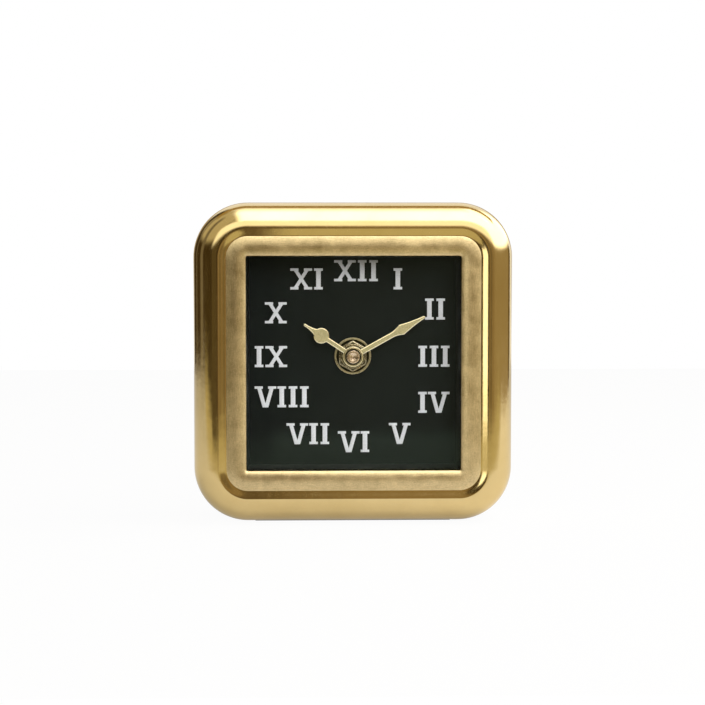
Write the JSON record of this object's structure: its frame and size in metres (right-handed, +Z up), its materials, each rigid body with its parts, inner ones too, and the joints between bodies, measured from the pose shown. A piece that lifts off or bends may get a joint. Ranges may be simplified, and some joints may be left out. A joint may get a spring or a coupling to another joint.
{
  "type": "pendulette clock",
  "caption": "Square desk clock with a cast brass bulged rim, black dial with raised Roman numerals, leaf hands and a battery quartz movement behind a windowed back plate.",
  "frame": {"origin": "centre of the clock's bounding box at the underside of its felt pad", "axes": "+Z up, +X to the right as the dial is read, +Y towards the back; the dial faces -Y"},
  "size_m": [0.14, 0.052, 0.1408],
  "materials": {
    "case_brass": "polished rim, brushed inner bead",
    "hand_brass": "satin, pale",
    "nut_brass": "satin",
    "arbor_brass": "machined",
    "glass": "clear, polished",
    "black_plastic": "satin",
    "dial_black": "satin black lacquer",
    "silver_print": "satin silver",
    "board": "raw fibreboard",
    "back_black": "fine grain",
    "movement_black": "fine grain",
    "wheel_plastic": "moulded",
    "steel": "plated",
    "magnet": "sintered",
    "copper": "enamelled wire",
    "circuit_green": "laminate",
    "rubber": "matte",
    "felt": "felt",
    "battery_wrap": "plain printed wrap"
  },
  "bodies": {
    "case": {"case": "case_brass", "felt_pad": "felt", "glass_pane": "glass", "spacer_frame": "black_plastic", "dial_plate": "dial_black", "numerals": "silver_print", "dial_board": "board", "board_screws": "steel", "back_plate": "back_black", "back_screws": "steel", "brass_washer": "nut_brass", "hex_nut": "nut_brass", "threaded_bushing": "nut_brass", "rubber_washer": "rubber", "movement_front_shell": "movement_black", "movement_back_shell": "movement_black", "train_bridge": "wheel_plastic", "stator": "steel", "coil_core": "steel", "coil_bobbin": "wheel_plastic", "coil_winding": "copper", "circuit_board": "circuit_green", "ic_chip": "movement_black", "quartz_crystal": "steel", "positive_contact": "steel", "negative_contact": "steel"},
    "minute": {"minute_hand": "hand_brass", "hand_nut": "nut_brass", "centre_wheel": "arbor_brass"},
    "hour": {"hour_hand": "hand_brass", "hour_wheel": "wheel_plastic"},
    "motion": {"minute_wheel": "wheel_plastic"},
    "setting": {"setting_stem": "wheel_plastic", "setting_knob": "movement_black"},
    "third": {"third_wheel": "wheel_plastic"},
    "seconds": {"seconds_wheel": "wheel_plastic"},
    "intermediate": {"intermediate_wheel": "wheel_plastic"},
    "rotor": {"rotor_pinion": "wheel_plastic", "rotor_magnet": "magnet"},
    "battery": {"battery": "battery_wrap"}
  },
  "joints": [
    {"name": "minute_spin", "type": "hinge", "parent": "case", "child": "minute", "pos_m": [0, 0, 0.0731], "axis": [0, 1, 0], "continuous": true},
    {"name": "hour_spin", "type": "hinge", "parent": "case", "child": "hour", "pos_m": [0, 0, 0.0731], "axis": [0, 1, 0], "continuous": true},
    {"name": "motion_spin", "type": "hinge", "parent": "case", "child": "motion", "pos_m": [-0.00779, 0, 0.0776], "axis": [0, 1, 0], "continuous": true},
    {"name": "setting_spin", "type": "hinge", "parent": "case", "child": "setting", "pos_m": [-0.01229, 0, 0.08539], "axis": [0, 1, 0], "continuous": true},
    {"name": "third_spin", "type": "hinge", "parent": "case", "child": "third", "pos_m": [0.00851, 0, 0.0716], "axis": [0, 1, 0], "continuous": true},
    {"name": "seconds_spin", "type": "hinge", "parent": "case", "child": "seconds", "pos_m": [0, 0, 0.0731], "axis": [0, 1, 0], "continuous": true},
    {"name": "intermediate_spin", "type": "hinge", "parent": "case", "child": "intermediate", "pos_m": [-0.00076, 0, 0.08182], "axis": [0, 1, 0], "continuous": true},
    {"name": "rotor_spin", "type": "hinge", "parent": "case", "child": "rotor", "pos_m": [0.00224, 0, 0.08701], "axis": [0, 1, 0], "continuous": true},
    {"name": "battery_slide", "type": "slide", "parent": "case", "child": "battery", "axis": [0, 1, 0], "range_m": [0, 0.03]}
  ],
  "couplings": [
    {"joint": "hour_spin", "follows": "minute_spin", "ratio": 0.083333},
    {"joint": "motion_spin", "follows": "minute_spin", "ratio": -0.33333},
    {"joint": "setting_spin", "follows": "minute_spin", "ratio": 1},
    {"joint": "third_spin", "follows": "minute_spin", "ratio": -8},
    {"joint": "seconds_spin", "follows": "minute_spin", "ratio": 60},
    {"joint": "intermediate_spin", "follows": "minute_spin", "ratio": -360},
    {"joint": "rotor_spin", "follows": "minute_spin", "ratio": 1800}
  ]
}
